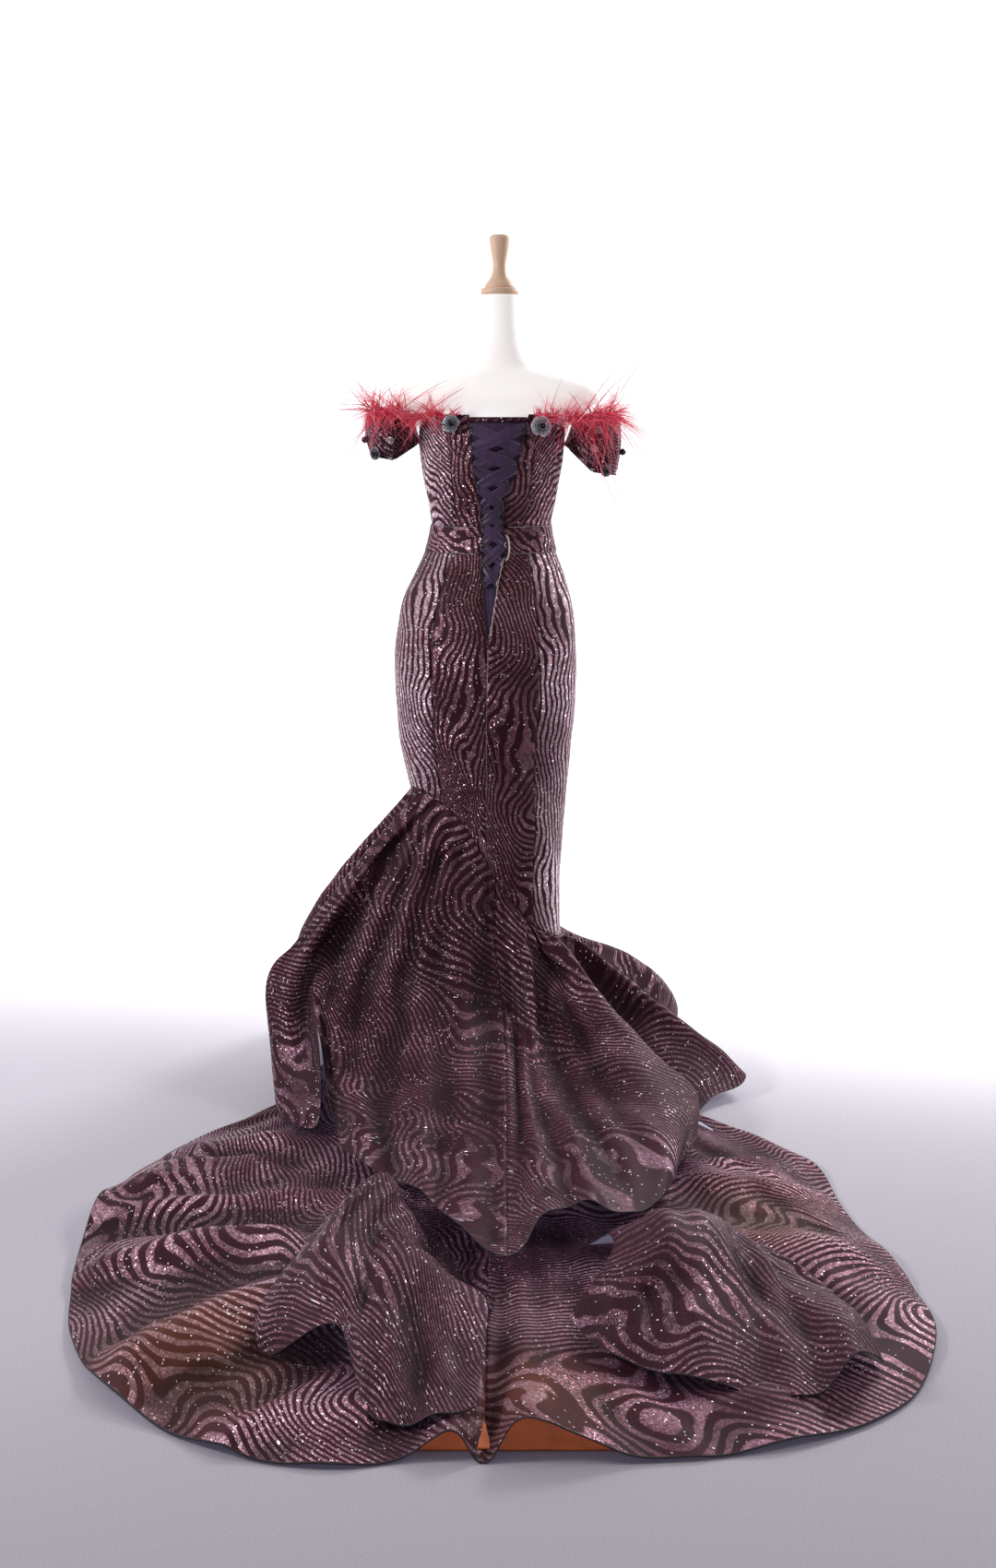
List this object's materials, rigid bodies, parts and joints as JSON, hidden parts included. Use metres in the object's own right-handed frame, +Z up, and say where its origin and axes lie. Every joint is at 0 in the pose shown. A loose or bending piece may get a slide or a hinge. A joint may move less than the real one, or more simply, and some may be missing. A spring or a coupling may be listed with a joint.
{
  "type": "prom dress on dress form",
  "caption": "Off-shoulder mermaid gown with laced back, feather neckline, layered flounces and a long train, on a limbless dress form.",
  "frame": {"origin": "centre of the underside of the stand's round base, on the floor", "axes": "+Z up; +Y behind the dress, towards the hem of the train; +X the wearer's left"},
  "size_m": [1.3628, 1.874, 1.714],
  "materials": {
    "sequin_mesh": "plum mesh with wavy stripes of small silver-mauve sequins",
    "purple_satin": "dull satin",
    "copper_satin": "smooth satin facing",
    "feather": "red ostrich feather",
    "form_cloth": "off-white jersey cover",
    "wood": "pale turned wood",
    "stand_metal": "grey paint",
    "rosette": "grey-black pressed petals",
    "silver_bead": "silvered beads",
    "black_bead": "glossy black"
  },
  "bodies": {
    "root": {"form_base": "stand_metal", "form_pole": "stand_metal", "form_body": "form_cloth", "form_neck_cap": "wood", "form_finial": "wood", "bodice_back_left": "sequin_mesh", "bodice_side_left": "sequin_mesh", "bodice_front": "sequin_mesh", "bodice_side_right": "sequin_mesh", "bodice_back_right": "sequin_mesh", "skirt_back_left": "sequin_mesh", "skirt_side_left": "sequin_mesh", "skirt_front": "sequin_mesh", "skirt_side_right": "sequin_mesh", "skirt_back_right": "sequin_mesh", "waistband_left": "sequin_mesh", "waistband_front": "sequin_mesh", "waistband_right": "sequin_mesh", "modesty_panel": "purple_satin", "lacing": "purple_satin", "flounce_left": "sequin_mesh", "flounce_front": "sequin_mesh", "flounce_right": "sequin_mesh", "train_right": "sequin_mesh", "train_left": "sequin_mesh", "ruffle_right": "sequin_mesh", "ruffle_left": "sequin_mesh", "train_facing": "copper_satin", "sleeve_left": "sequin_mesh", "sleeve_right": "sequin_mesh", "feathers_left": "feather", "feathers_right": "feather", "rosette_back_left": "rosette", "rosette_back_right": "rosette", "rosette_cuff_left": "rosette", "rosette_cuff_right": "rosette", "bead_flower_1": "silver_bead", "bead_flower_2": "silver_bead", "bead_flower_3": "silver_bead", "bead_flower_4": "silver_bead", "bead_flower_5": "silver_bead", "black_bead_left": "black_bead", "black_bead_right": "black_bead"}
  },
  "joints": []
}
